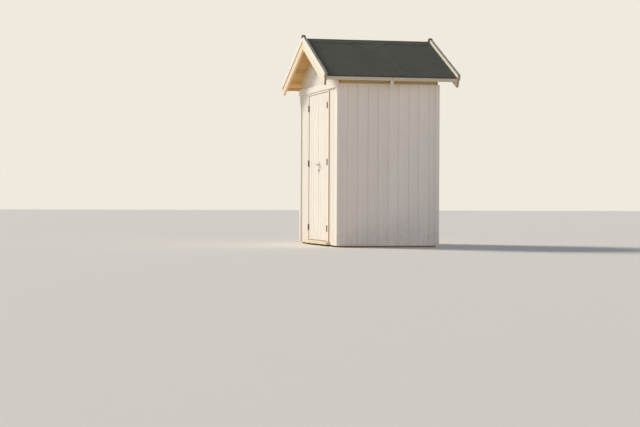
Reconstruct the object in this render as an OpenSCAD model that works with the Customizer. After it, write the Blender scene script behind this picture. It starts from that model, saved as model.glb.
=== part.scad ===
// White timber beach hut with a gabled felt roof and double doors in the gable front.
// The front faces -Y, the ridge runs along Y, and Z = 0 is the underside of the floor bearers.

/* [Hut] */
// Width of the hut over the corner trims
hut_w = 2060; // [1600:10:2600]
// Depth of the hut over the corner trims
hut_d = 1310; // [1000:10:2400]
// Height of the lower edge of the wall boarding above the ground
wall_base = 20; // [5:1:35]
// Thickness of the wall boarding
clad_t = 19; // [15:1:25]

/* [Floor] */
// Height of the floor bearers
bearer_h = 44; // [38:1:80]
// Width of a floor bearer
bearer_w = 45; // [35:1:80]
// Number of floor bearers
bearers = 5; // [3:2:7]
// Thickness of the floor boards
floor_t = 18; // [15:1:28]

/* [Frame] */
// Section of the posts and rails
post = 45; // [38:1:60]
// Height of the header over the doorway, up to the wall plates
header_h = 90; // [70:1:140]
// Width of the wall plates under the rafters
plate_w = 60; // [50:1:80]
// Height of the wall plates under the rafters
plate_h = 80; // [60:1:100]
// Height of the middle wall rails above the floor
rail_level = 940; // [700:10:1100]

/* [Roof] */
// Pitch of the roof in degrees
roof_pitch = 24.5; // [20:0.5:32]
// Depth of a rafter, square to the roof
rafter_h = 80; // [70:1:100]
// Width of a rafter
rafter_w = 40; // [35:1:60]
// Thickness of the roof boards
deck_t = 18; // [15:1:24]
// Thickness of a layer of roofing felt
felt_t = 3; // [2:0.5:5]
// Clearance between the sloping layers of the roof
layer_gap = 0.1; // [0.1:0.05:0.5]
// Reach of the roof beyond the corner trims at the eaves, to the fascia's face
eaves_reach = 160; // [120:5:240]
// Reach of the roof boards beyond the corner trims at the gables
gable_reach = 172; // [100:1:260]
// Reach of the felt beyond the fascia's face
drip = 8; // [4:1:15]
// Length of the felt's turned-down edge at the eaves
drip_lip = 6; // [4:1:20]
// Width of felt laid flat from the front gable, up to the exposed lap
felt_course = 997; // [500:1:1000]
// Overlap of the two felt strips
felt_lap = 80; // [50:5:120]
// Reach of the ridge strip down each slope
ridge_reach = 125; // [80:5:200]
// Reach of the ridge strip over the top edges of the bargeboards, down each slope
saddle_reach = 45; // [30:5:110]
// Drop of the ridge strip's end in front of the bargeboards
saddle_drop = 20; // [10:1:45]
// Height of the collar tie's lower edge above the side walls' boarding
tie_level = 290; // [200:10:330]
// Depth of the collar tie
tie_h = 70; // [60:5:90]
// Thickness of the collar tie
tie_t = 25; // [18:1:40]

/* [Roof trims] */
// Width of a bargeboard
barge_w = 164; // [120:1:200]
// Thickness of a bargeboard
barge_t = 28; // [16:1:32]
// Height of the bargeboards above the felt, square to the roof
barge_rise = 40; // [20:1:60]
// Reach of a bargeboard's upper corner beyond the fascia's face
barge_reach = 35; // [10:1:60]
// Width of the cover strip along a bargeboard's upper edge
cover_w = 70; // [40:1:90]
// Thickness of the cover strip
cover_t = 8; // [6:1:28]
// Open joint between a pair of bargeboards at the apex
mitre_gap = 3; // [1:0.5:6]
// Height of the fascia boards
fascia_h = 60; // [40:1:120]
// Thickness of the fascia boards
fascia_t = 18; // [15:1:25]
// Open butt joint in the middle of a fascia
butt_gap = 2; // [1:0.5:4]

/* [Wall trims] */
// Thickness of the corner trims
trim_t = 17; // [14:1:22]
// Width of a corner trim on the gable walls
trim_w = 65; // [50:1:90]
// Width of a corner trim on the side walls
trim_side_w = 53; // [45:1:80]
// Height of the head board across the front
head_board_h = 80; // [60:1:100]
// Thickness of the head board
head_board_t = 24; // [22:1:30]
// Reach of the head board beyond the corner trims
head_board_reach = 22; // [5:1:40]

/* [Doorway] */
// Clear width between the door casings
opening_w = 1040; // [900:10:1200]
// Height of the door leaves
leaf_h = 1866; // [1700:2:1880]
// Gap below a leaf
gap_below = 6; // [5:0.5:12]
// Gap above a leaf
gap_above = 6; // [5:0.5:12]
// Gap between a leaf and the casing beside it
gap_side = 5; // [5:0.5:8]
// Gap between the two leaves
gap_middle = 7; // [6:0.5:10]
// Thickness of a leaf's boards
leaf_t = 19; // [16:1:24]
// Gap between the back of a leaf and the door posts that it shuts against
gap_behind = 5; // [5:0.5:10]
// Lap of a leaf over the door posts and the header
stop_lap = 10; // [6:1:15]
// Width of a door casing
casing_w = 55; // [40:1:100]
// Thickness of a door casing
casing_t = 12; // [10:1:16]
// Height of the casing over the doors
casing_head_h = 25; // [20:1:60]
// Reach of the threshold in front of the wall boarding
sill_reach = 45; // [35:1:80]
// Reach of the threshold beyond the casings
sill_end = 30; // [10:1:60]

/* [Ledges] */
// Width of a door ledge
ledge_w = 90; // [70:5:120]
// Width of a door brace along its ends
brace_w = 81; // [60:1:110]
// Gap between the ends of a brace and the ledges
brace_gap = 1; // [0.5:0.5:3]
// Thickness of the ledges and braces
ledge_t = 18; // [15:1:25]
// Inset of the ledges from a leaf's hinge edge
ledge_inset = 27; // [20:1:40]
// Inset of the ledges from a leaf's free edge
ledge_free = 75; // [70:1:120]
// Gap between the lock case and the ledge beside it
ledge_gap = 8; // [4:1:20]
// Distance of the outer ledges' centres from the leaf's ends
ledge_end = 160; // [120:5:260]

/* [Hinges] */
// Height of a hinge
hinge_h = 80; // [60:5:120]
// Outer radius of a hinge knuckle
knuckle_r = 8; // [6:0.5:9]
// Gap between a knuckle and the face of the leaf
knuckle_gap = 1.5; // [0.5:0.5:3]
// Gap between a knuckle and the casing beside it
knuckle_side = 0.5; // [0.5:0.1:1]
// Radius of a hinge pin
pin_r = 3; // [2:0.25:4]
// Radial clearance of a knuckle on its pin
pin_fit = 0.06; // [0.02:0.01:0.1]
// Number of knuckles on a hinge
knuckles = 5; // [3:2:7]
// Gap between neighbouring knuckles
knuckle_part = 0.4; // [0.2:0.1:1]
// Thickness of a hinge leaf
hinge_t = 2; // [1.5:0.25:2]
// Distance of the bottom hinge's centre from the leaf's lower end
hinge_low = 156; // [100:2:240]
// Distance of the middle hinge's centre from the leaf's lower end
hinge_mid = 987; // [700:1:1200]
// Distance of the top hinge's centre from the leaf's upper end
hinge_high = 164; // [100:2:240]

/* [Lock] */
// Height of the lever's axis above the ground
lever_level = 1030; // [900:5:1100]
// Distance of the lever's axis from the right leaf's free edge
backset = 45; // [40:1:60]
// Distance from the lever's axis down to the keyhole
key_drop = 72; // [60:1:92]
// Radius of the keyhole's round
key_r = 4; // [3:0.5:5]
// Width of the keyhole's slot
key_slot_w = 3.6; // [2:0.2:5]
// Length of the keyhole's slot from the centre of its round
key_slot_l = 10; // [8:0.5:14]
// Length of the lever from its axis
lever_length = 115; // [95:1:135]
// Reach of the levers from the face of the leaf and from the lock case
lever_reach = 40; // [36:1:60]
// Radius of the lever's neck
neck_r = 8; // [6:0.5:9]
// Radius of the lever's tip
tip_r = 6; // [4:0.5:7]
// Radial clearance of the neck in its plate
neck_fit = 0.08; // [0.02:0.01:0.1]
// Radius of the spindle through the leaf
spindle_r = 4.5; // [3.5:0.5:5]
// Radial clearance of the holes through the leaf around the neck and the key
bore_gap = 2; // [1:0.5:4]
// Width of the lock plate
lock_plate_w = 40; // [34:1:50]
// Height of the lock plate
lock_plate_h = 160; // [140:5:220]
// Thickness of the lock plate
lock_plate_t = 3; // [2:0.5:4]
// Height of the boss around the lever's neck, from the face of the leaf
boss_h = 9; // [6:0.5:14]
// Wall of the boss around the lever's neck
boss_wall = 4; // [3:0.5:6]
// Distance of the lock case from the right leaf's free edge
case_inset = 9; // [6:1:14]
// Width of the lock case
case_w = 80; // [75:1:95]
// Height of the lock case
case_h = 124; // [110:2:150]
// Thickness of the lock case
case_t = 20; // [16:1:25]

/* [Bolts] */
// Length of a bolt on the standing leaf
bolt_l = 150; // [120:5:200]
// Distance of a bolt from the leaf's end
bolt_end = 15; // [10:1:40]
// Radius of a bolt's rod
bolt_r = 5; // [4:0.5:7]
// Depth that a bolt's rod is let into its plate
bolt_sink = 1; // [0.5:0.5:2]
// Width of a bolt's plate
bolt_plate_w = 40; // [30:1:50]
// Thickness of a bolt's plate
bolt_plate_t = 3; // [2:0.5:4]
// Height of the guides that hold a bolt's rod
guide_h = 12; // [8:1:20]
// Width of the guides that hold a bolt's rod
guide_w = 16; // [15:1:24]
// Length of a bolt's knob from the rod's axis
knob_l = 18; // [12:1:25]
// Radius of a bolt's knob
knob_r = 4; // [3:0.5:5]

/* [Hidden] */
$fn = 48;
// Overrun of a cutting body at each end
cut = 1;

white = "#f1efe9";
cream = "#e9e3d2";
bare_timber = "#b98b58";
felt_grey = "#434542";
steel_grey = "#4a4a48";
lever_grey = "#8d8b86";

// Faces of the boarding, and the inside of the frame
face_x = hut_w / 2 - trim_t;
face_y = hut_d / 2 - trim_t;
in_x = face_x - clad_t;
in_y = face_y - clad_t;
room_x = in_x - post;
room_y = in_y - post;
floor_top = bearer_h + floor_t;

// Doorway and leaves
leaf_z = floor_top + gap_below;
leaf_top = leaf_z + leaf_h;
leaf_w = (opening_w - gap_middle) / 2 - gap_side;
leaf_edge = opening_w / 2 - gap_side;
leaf_free = gap_middle / 2;
leaf_back = -in_y - gap_behind;
leaf_front = leaf_back - leaf_t;
post_x = leaf_edge - stop_lap;
header_z = leaf_top - stop_lap;
casing_x = opening_w / 2 + casing_w;
casing_top = leaf_top + gap_above;
head_z = casing_top + casing_head_h;
side_top = header_z + header_h;
plate_top = side_top + plate_h;

// Roof lines, each a height at a distance x from the ridge
slope = tan(roof_pitch);
plumb = 1 / cos(roof_pitch);
seat_x = face_x - plate_w;
function rafter_under(x) = plate_top + (seat_x - x) * slope;
function rafter_top(x) = rafter_under(x) + rafter_h * plumb;
function deck_under(x) = rafter_top(x) + layer_gap * plumb;
function deck_top(x) = deck_under(x) + deck_t * plumb;
function felt_under(x) = deck_top(x) + layer_gap * plumb;
function felt_top(x) = felt_under(x) + felt_t * plumb;
function strip_under(x) = felt_top(x) + layer_gap * plumb;
function barge_top(x) = felt_top(x) + barge_rise * plumb;
function saddle_under(x) = barge_top(x) + layer_gap * plumb;
eave_x = hut_w / 2 + eaves_reach;
deck_x = eave_x - fascia_t;
felt_x = eave_x + drip;
deck_y = hut_d / 2 + gable_reach;
lap_y = -deck_y + felt_course;
barge_y = deck_y + barge_t;
cover_y = barge_y + cover_t;

// Ledges, measured from the leaf's lower end
ledge_levels = [ledge_end, hinge_mid, leaf_h - ledge_end];

// Hinges
hinge_levels = [hinge_low, hinge_mid, leaf_h - hinge_high];
pin_x = opening_w / 2 - knuckle_side - knuckle_r;
pin_y = leaf_front - knuckle_gap - knuckle_r;
knuckle_h = hinge_h / knuckles;

// Lock
lever_x = leaf_free + backset;
key_level = lever_level - key_drop;
case_x = leaf_free + case_inset;
lock_mid = lever_level - key_drop / 2;

// Extrudes a profile drawn in X and Z from y0 to y1
module along_y(y0, y1) {
    translate([0, y1, 0]) rotate([90, 0, 0]) linear_extrude(y1 - y0) children();
}

// The children and their mirror image across the ridge
module both_sides() {
    children();
    mirror([1, 0, 0]) children();
}

// The children and their mirror image from front to rear
module both_ends() {
    children();
    mirror([0, 1, 0]) children();
}

// A block between two corners
module block(low, high) {
    translate(low) cube(high - low);
}

module floor_bearers() {
    pitch = (2 * in_x - bearer_w) / (bearers - 1);
    color(bare_timber)
    for (i = [0 : bearers - 1]) {
        x = -in_x + i * pitch;
        block([x, -in_y, 0], [x + bearer_w, in_y, bearer_h]);
    }
}

module floor_deck() {
    color(bare_timber) block([-in_x, -in_y, bearer_h], [in_x, in_y, floor_top]);
}

module side_wall() {
    color(white) block([in_x, -in_y, wall_base], [face_x, in_y, side_top]);
}

// Outline of a gable wall above a given height
module gable_outline(from_z) {
    polygon([
        [-face_x, from_z], [face_x, from_z], [face_x, rafter_top(face_x)],
        [0, rafter_top(0)], [-face_x, rafter_top(face_x)]
    ]);
}

module rear_wall() {
    color(white) along_y(in_y, face_y) gable_outline(wall_base);
}

module front_gable() {
    color(white) along_y(-face_y, -in_y) gable_outline(casing_top);
}

module front_wall_right() {
    color(white) block([opening_w / 2, -face_y, wall_base], [face_x, -in_y, casing_top]);
}

module corner_posts() {
    color(bare_timber) both_sides() both_ends()
    block([room_x, room_y, floor_top], [in_x, in_y, side_top]);
}

module door_posts() {
    color(bare_timber) both_sides()
    block([post_x, -in_y, floor_top], [post_x + post, -room_y, header_z]);
}

module door_header() {
    color(bare_timber)
    block([-room_x, -in_y, header_z], [room_x, -room_y, side_top]);
}

module wall_rails() {
    levels = [floor_top, floor_top + rail_level];
    color(bare_timber) {
        for (z = levels) {
            both_sides() block([room_x, -room_y, z], [in_x, room_y, z + post]);
            block([-room_x, room_y, z], [room_x, in_y, z + post]);
            both_sides() block([post_x + post, -in_y, z], [room_x, -room_y, z + post]);
        }
        block([-room_x, room_y, side_top - post], [room_x, in_y, side_top]);
    }
}

module wall_plates() {
    color(bare_timber) both_sides()
    block([seat_x, -in_y, side_top], [face_x, in_y, plate_top]);
}

// One rafter of the right slope, notched over the wall plate
module rafter(y0, end_x) {
    along_y(y0, y0 + rafter_w) difference() {
        polygon([
            [0, rafter_under(0)], [end_x, rafter_under(end_x)],
            [end_x, rafter_top(end_x)], [0, rafter_top(0)]
        ]);
        translate([seat_x, side_top]) square([plate_w, plate_h]);
    }
}

module right_rafters() {
    color(bare_timber) {
        rafter(-in_y, face_x);
        rafter(-rafter_w / 2, deck_x);
        rafter(in_y - rafter_w, face_x);
    }
}

// Boards that close the eaves between the rafters, on the wall plates
module eaves_blocking() {
    back_x = face_x - deck_t;
    color(bare_timber) both_sides() both_ends()
    along_y(rafter_w / 2, in_y - rafter_w)
    polygon([
        [back_x, plate_top], [face_x, plate_top],
        [face_x, rafter_top(face_x)], [back_x, rafter_top(back_x)]
    ]);
}

module collar_tie() {
    low = side_top + tie_level;
    high = low + tie_h;
    low_x = (rafter_top(0) - low) / slope;
    high_x = (rafter_top(0) - high) / slope;
    color(bare_timber) along_y(rafter_w / 2, rafter_w / 2 + tie_t)
    polygon([[-low_x, low], [low_x, low], [high_x, high], [-high_x, high]]);
}

module right_roof_deck() {
    color(bare_timber) along_y(-deck_y, deck_y)
    polygon([
        [0, deck_under(0)], [deck_x, deck_under(deck_x)],
        [deck_x, deck_top(deck_x)], [0, deck_top(0)]
    ]);
}

// Section of one layer of felt from a distance x0 of the ridge to the eaves
module felt_section(x0, lift) {
    up = lift * plumb;
    polygon([
        [x0, felt_under(x0) + up], [felt_x, felt_under(felt_x) + up],
        [felt_x, felt_top(felt_x) + up], [x0, felt_top(x0) + up]
    ]);
}

module right_felt() {
    lip_x = felt_x - felt_t;
    color(felt_grey) {
        along_y(-deck_y, deck_y) felt_section(0, 0);
        along_y(lap_y - felt_lap, lap_y) felt_section(ridge_reach, felt_t);
        along_y(-deck_y, deck_y)
        translate([lip_x, felt_under(felt_x) - drip_lip]) square([felt_t, drip_lip + felt_t]);
    }
}

module ridge_felt() {
    strip = felt_t * plumb;
    drop = saddle_drop * plumb;
    color(felt_grey) {
        along_y(-deck_y, deck_y) polygon([
            [-ridge_reach, strip_under(ridge_reach)], [0, strip_under(0)],
            [ridge_reach, strip_under(ridge_reach)], [ridge_reach, strip_under(ridge_reach) + strip],
            [0, strip_under(0) + strip], [-ridge_reach, strip_under(ridge_reach) + strip]
        ]);
        both_ends() {
            along_y(-cover_y - felt_t, -deck_y) polygon([
                [-saddle_reach, saddle_under(saddle_reach)], [0, saddle_under(0)],
                [saddle_reach, saddle_under(saddle_reach)],
                [saddle_reach, saddle_under(saddle_reach) + strip],
                [0, saddle_under(0) + strip], [-saddle_reach, saddle_under(saddle_reach) + strip]
            ]);
            along_y(-cover_y - felt_t, -cover_y) polygon([
                [-saddle_reach, saddle_under(saddle_reach) - drop], [0, saddle_under(0) - drop],
                [saddle_reach, saddle_under(saddle_reach) - drop],
                [saddle_reach, saddle_under(saddle_reach) + strip],
                [0, saddle_under(0) + strip], [-saddle_reach, saddle_under(saddle_reach) + strip]
            ]);
            along_y(-deck_y, -deck_y + felt_t) polygon([
                [-saddle_reach, strip_under(saddle_reach)], [0, strip_under(0)],
                [saddle_reach, strip_under(saddle_reach)],
                [saddle_reach, saddle_under(saddle_reach) + strip],
                [0, saddle_under(0) + strip], [-saddle_reach, saddle_under(saddle_reach) + strip]
            ]);
        }
    }
}

// Outline of a board along the right verge, square cut at its lower end
module verge_outline(w) {
    x0 = mitre_gap / 2;
    x1 = eave_x + barge_reach;
    polygon([
        [x0, barge_top(x0)], [x0, barge_top(x0) - w * plumb],
        [x1 - w * sin(roof_pitch), barge_top(x1) - w * cos(roof_pitch)],
        [x1, barge_top(x1)]
    ]);
}

module front_right_barge() {
    color(white) along_y(-barge_y, -deck_y) verge_outline(barge_w);
}

module barge_cover_strips() {
    color(white) both_ends() both_sides() along_y(-cover_y, -barge_y) verge_outline(cover_w);
}

module right_fascia() {
    color(white) both_ends() along_y(-deck_y, -butt_gap / 2)
    polygon([
        [deck_x, deck_top(deck_x) - fascia_h], [eave_x, deck_top(deck_x) - fascia_h],
        [eave_x, deck_top(eave_x)], [deck_x, deck_top(deck_x)]
    ]);
}

module corner_trims() {
    x = hut_w / 2;
    y = hut_d / 2;
    color(white) both_sides() {
        block([x - trim_w, -y, wall_base], [x, -face_y, head_z]);
        block([face_x, -face_y, wall_base], [x, -y + trim_side_w, side_top]);
        block([x - trim_w, face_y, wall_base], [x, y, side_top]);
        block([face_x, y - trim_side_w, wall_base], [x, face_y, side_top]);
    }
}

module head_board() {
    x = hut_w / 2 + head_board_reach;
    color(white) block([-x, -face_y - head_board_t, head_z], [x, -face_y, head_z + head_board_h]);
}

module right_casing() {
    color(white)
    block([opening_w / 2, -face_y - casing_t, floor_top], [casing_x, -face_y, casing_top]);
}

module casing_head() {
    color(white) block([-casing_x, -face_y - casing_t, casing_top], [casing_x, -face_y, head_z]);
}

module threshold() {
    color(cream) {
        block([-casing_x - sill_end, -face_y - sill_reach, wall_base],
            [casing_x + sill_end, -face_y, floor_top]);
        block([-opening_w / 2, -face_y, wall_base], [opening_w / 2, -in_y, floor_top]);
    }
}

// The heights of a hinge's knuckle number i, with its gap taken off where it meets a neighbour
function knuckle_low(i) = i * knuckle_h + (i > 0 ? knuckle_part / 2 : 0);
function knuckle_high(i) = (i + 1) * knuckle_h - (i < knuckles - 1 ? knuckle_part / 2 : 0);

// The casing's half of a right hinge, with the pin
module frame_hinge() {
    plate_x = opening_w / 2 - hinge_t;
    block([plate_x, leaf_front, 0], [opening_w / 2, leaf_back, hinge_h]);
    for (i = [0 : 2 : knuckles - 1]) {
        z0 = knuckle_low(i);
        z1 = knuckle_high(i);
        translate([pin_x, pin_y, z0]) cylinder(r = knuckle_r, h = z1 - z0);
        block([plate_x, pin_y, z0], [opening_w / 2, leaf_front, z1]);
    }
    translate([pin_x, pin_y, 0]) cylinder(r = pin_r, h = hinge_h);
}

// The leaf's half of a right hinge
module leaf_hinge() {
    plate_x = leaf_edge + hinge_t;
    difference() {
        union() {
            block([leaf_edge, leaf_front, 0], [plate_x, leaf_back, hinge_h]);
            for (i = [1 : 2 : knuckles - 2]) {
                z0 = knuckle_low(i);
                z1 = knuckle_high(i);
                translate([pin_x, pin_y, z0]) cylinder(r = knuckle_r, h = z1 - z0);
                block([leaf_edge, pin_y, z0], [plate_x, leaf_front, z1]);
            }
        }
        translate([pin_x, pin_y, -cut]) cylinder(r = pin_r + pin_fit, h = hinge_h + 2 * cut);
    }
}

module frame_hinges() {
    color(steel_grey) both_sides() for (level = hinge_levels)
    translate([0, 0, leaf_z + level - hinge_h / 2]) frame_hinge();
}

module right_door_hinges() {
    color(steel_grey) for (level = hinge_levels)
    translate([0, 0, leaf_z + level - hinge_h / 2]) leaf_hinge();
}

// The keyhole, a round with a slot under it, wider all round by a gap
module keyhole(y0, y1, gap) {
    along_y(y0, y1) translate([lever_x, key_level]) {
        circle(r = key_r + gap);
        translate([-key_slot_w / 2 - gap, -key_slot_l - gap])
            square([key_slot_w + 2 * gap, key_slot_l + gap]);
    }
}

module leaf_boards() {
    block([leaf_free, leaf_front, leaf_z], [leaf_edge, leaf_back, leaf_top]);
}

module left_door() {
    color(white) mirror([1, 0, 0]) leaf_boards();
}

module right_door() {
    color(white) difference() {
        leaf_boards();
        along_y(leaf_front - cut, leaf_back + cut)
        translate([lever_x, lever_level]) circle(r = neck_r + bore_gap);
        keyhole(leaf_front - cut, leaf_back + cut, bore_gap);
    }
}

// Three ledges and two braces across the back of a right leaf, the middle one from mid_x
module ledges(mid_x) {
    x0 = leaf_free + ledge_free;
    x1 = leaf_edge - ledge_inset;
    y1 = leaf_back + ledge_t;
    brace_x = max(mid_x, x0);
    for (i = [0 : 2]) {
        z = leaf_z + ledge_levels[i];
        block([i == 1 ? mid_x : x0, leaf_back, z - ledge_w / 2], [x1, y1, z + ledge_w / 2]);
    }
    for (i = [0 : 1]) {
        z0 = leaf_z + ledge_levels[i] + ledge_w / 2 + brace_gap;
        z1 = leaf_z + ledge_levels[i + 1] - ledge_w / 2 - brace_gap;
        along_y(leaf_back, y1)
        polygon([[x1 - brace_w, z0], [x1, z0], [brace_x + brace_w, z1], [brace_x, z1]]);
    }
}

module right_door_ledges() {
    color(white) ledges(case_x + case_w + ledge_gap);
}

module left_door_ledges() {
    color(white) mirror([1, 0, 0]) ledges(leaf_free + ledge_free);
}

// A rod bolt on its plate, drawn back so that the leaf can swing
module tower_bolt() {
    rod_y = bolt_plate_t + bolt_r - bolt_sink;
    translate([-bolt_plate_w / 2, 0, 0]) cube([bolt_plate_w, bolt_plate_t, bolt_l]);
    translate([0, rod_y, 0]) cylinder(r = bolt_r, h = bolt_l);
    for (z = [0, bolt_l - guide_h])
        translate([-guide_w / 2, 0, z]) cube([guide_w, rod_y, guide_h]);
    translate([0, rod_y, bolt_l / 2]) rotate([-90, 0, 0]) cylinder(r = knob_r, h = knob_l);
}

module left_door_bolts() {
    x = -leaf_free - ledge_free / 2;
    color(steel_grey) for (z = [leaf_z + bolt_end, leaf_top - bolt_end - bolt_l])
    translate([x, leaf_back, z]) tower_bolt();
}

module lock_plate() {
    r = lock_plate_w / 2;
    h = lock_plate_h / 2 - r;
    color(lever_grey) difference() {
        union() {
            along_y(leaf_front - lock_plate_t, leaf_front) translate([lever_x, lock_mid]) {
                translate([0, h]) circle(r = r);
                translate([0, -h]) circle(r = r);
                square([2 * r, 2 * h], center = true);
            }
            along_y(leaf_front - boss_h, leaf_front)
            translate([lever_x, lever_level]) circle(r = neck_r + boss_wall);
        }
        along_y(leaf_front - boss_h - cut, leaf_front + cut)
        translate([lever_x, lever_level]) circle(r = neck_r + neck_fit);
        keyhole(leaf_front - lock_plate_t - cut, leaf_front + cut, 0);
    }
}

module lock_case() {
    color(steel_grey) difference() {
        block([case_x, leaf_back, lock_mid - case_h / 2],
            [case_x + case_w, leaf_back + case_t, lock_mid + case_h / 2]);
        along_y(leaf_back - cut, leaf_back + case_t + cut)
        translate([lever_x, lever_level]) circle(r = neck_r + neck_fit);
        keyhole(leaf_back - cut, leaf_back + case_t + cut, 0);
    }
}

// Half of the lever handle on its axis, with the neck running to -Y and the arm to +X
module half_lever(reach) {
    bend = neck_r * 2;
    arm = lever_length - bend - tip_r;
    rotate([90, 0, 0]) cylinder(r = neck_r, h = reach - bend);
    translate([bend, -(reach - bend), 0]) mirror([0, 1, 0]) rotate([0, 0, 90])
        rotate_extrude(angle = 90) translate([bend, 0]) circle(r = neck_r);
    translate([bend, -reach, 0]) rotate([0, 90, 0]) cylinder(r1 = neck_r, r2 = tip_r, h = arm);
    translate([bend + arm, -reach, 0]) sphere(r = tip_r);
}

module door_lever() {
    inner_y = leaf_back + case_t / 2;
    color(lever_grey) translate([lever_x, 0, lever_level]) {
        translate([0, leaf_front, 0]) half_lever(lever_reach);
        translate([0, inner_y, 0]) mirror([0, 1, 0]) half_lever(lever_reach + case_t / 2);
        translate([0, leaf_front, 0]) rotate([-90, 0, 0])
            cylinder(r = spindle_r, h = inner_y - leaf_front);
    }
}

floor_bearers();
floor_deck();
mirror([1, 0, 0]) side_wall();  // left_wall
side_wall();  // right_wall
rear_wall();
mirror([1, 0, 0]) front_wall_right();  // front_wall_left
front_wall_right();
front_gable();
corner_posts();
door_posts();
door_header();
wall_rails();
wall_plates();
mirror([1, 0, 0]) right_rafters();  // left_rafters
right_rafters();
collar_tie();
eaves_blocking();
mirror([1, 0, 0]) right_roof_deck();  // left_roof_deck
right_roof_deck();
mirror([1, 0, 0]) right_felt();  // left_felt
right_felt();
ridge_felt();
mirror([1, 0, 0]) front_right_barge();  // front_left_barge
front_right_barge();
mirror([0, 1, 0]) mirror([1, 0, 0]) front_right_barge();  // rear_left_barge
mirror([0, 1, 0]) front_right_barge();  // rear_right_barge
barge_cover_strips();
mirror([1, 0, 0]) right_fascia();  // left_fascia
right_fascia();
corner_trims();
head_board();
mirror([1, 0, 0]) right_casing();  // left_casing
right_casing();
casing_head();
threshold();
frame_hinges();
left_door();
left_door_ledges();
mirror([1, 0, 0]) right_door_hinges();  // left_door_hinges
left_door_bolts();
right_door();
right_door_ledges();
right_door_hinges();
lock_plate();
lock_case();
door_lever();
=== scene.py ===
import math
import random

import bmesh
import bpy
from bpy.props import FloatProperty, FloatVectorProperty, IntProperty, PointerProperty
from bpy.types import Operator, Panel, PropertyGroup
from mathutils import Matrix, Vector


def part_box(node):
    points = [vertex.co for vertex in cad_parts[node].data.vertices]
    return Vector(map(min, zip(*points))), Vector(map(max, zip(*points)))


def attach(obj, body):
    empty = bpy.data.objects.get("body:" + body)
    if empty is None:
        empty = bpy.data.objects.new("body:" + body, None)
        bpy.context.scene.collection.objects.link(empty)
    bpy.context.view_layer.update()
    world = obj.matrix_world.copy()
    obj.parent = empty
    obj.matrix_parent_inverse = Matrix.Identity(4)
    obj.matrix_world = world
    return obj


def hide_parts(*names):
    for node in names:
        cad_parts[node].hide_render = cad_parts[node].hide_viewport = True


bl_info = {
    "name": "Timber Beach Hut",
    "version": (1, 0, 0),
    "blender": (4, 5, 0),
    "location": "View3D > Sidebar > Beach Hut",
    "description": "Dresses a timber beach hut with boards, felt, paint and ironwork",
    "category": "Add Mesh",
}

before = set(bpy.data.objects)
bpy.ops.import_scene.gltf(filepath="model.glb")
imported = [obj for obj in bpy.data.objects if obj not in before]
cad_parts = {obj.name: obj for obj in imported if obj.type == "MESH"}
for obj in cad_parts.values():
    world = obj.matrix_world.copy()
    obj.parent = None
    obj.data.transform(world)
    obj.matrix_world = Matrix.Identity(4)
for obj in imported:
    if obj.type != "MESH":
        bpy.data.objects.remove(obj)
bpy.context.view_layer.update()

# Places taken from the frame
WALL_LOW, WALL_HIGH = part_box("right_wall")
REAR_LOW, REAR_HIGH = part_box("rear_wall")
GABLE_LOW, GABLE_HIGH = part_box("front_gable")
DECK_LOW, DECK_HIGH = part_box("right_roof_deck")
FELT_LOW, FELT_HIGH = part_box("right_felt")
DOOR_LOW, DOOR_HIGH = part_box("right_door")
FASCIA_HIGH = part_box("right_fascia")[1]
PLATE_LOW, PLATE_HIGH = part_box("lock_plate")
CASE_LOW, CASE_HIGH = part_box("lock_case")
FACE_X = WALL_HIGH.x
CLAD_T = WALL_HIGH.x - WALL_LOW.x
SLOPE = (DECK_HIGH.z - FASCIA_HIGH.z) / DECK_HIGH.x
# The doors: side, node and body
DOORS = ((1, "right_door", "right_leaf"), (-1, "left_door", "left_leaf"))

# The lock: drop of the keyhole under the lever's axis, the keyhole's round and slot,
# the hole for the lever's neck, and the thickness of the lock plate
KEY_DROP = 0.072
KEY_R = 0.006
KEY_SLOT = (0.0076, 0.012)
NECK_HOLE_R = 0.010
PLATE_T = 0.003
LOCK_X = (PLATE_LOW.x + PLATE_HIGH.x) / 2
LEVER_Z = (PLATE_LOW.z + PLATE_HIGH.z) / 2 + KEY_DROP / 2
KEY_Z = LEVER_Z - KEY_DROP
# The raised ring round the keyhole: its outer radius and its rise from the plate
RING_R = 0.011
RING_RISE = 0.007
# The doors' ledges: their width, and the level of the middle ones
LEDGE_W = 0.090
LEDGE_MID = 1.055

# Distance below which two places count as one
TOUCH = 1e-6
# Eased edge of the framing and casings
FINE_EDGE = 0.0015


def linear(red, green, blue):
    """A colour written in 0 to 255, as the linear values that Blender takes"""
    def one(value):
        value /= 255
        return value / 12.92 if value <= 0.04045 else ((value + 0.055) / 1.055) ** 2.4
    return one(red), one(green), one(blue)


def number(name, description, default, low, high, **more):
    """A property that holds a number within its limits"""
    return FloatProperty(name=name, description=description, default=default, min=low, max=high,
                         **more)


def length(*parts):
    """A property that holds a length in metres"""
    return number(*parts, unit="LENGTH")


def tint(name, thing, *values):
    """A property that holds a thing's colour, written in 0 to 255"""
    return FloatVectorProperty(name=name, description=f"Colour of the {thing}", subtype="COLOR",
                               size=3, default=linear(*values))


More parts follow.
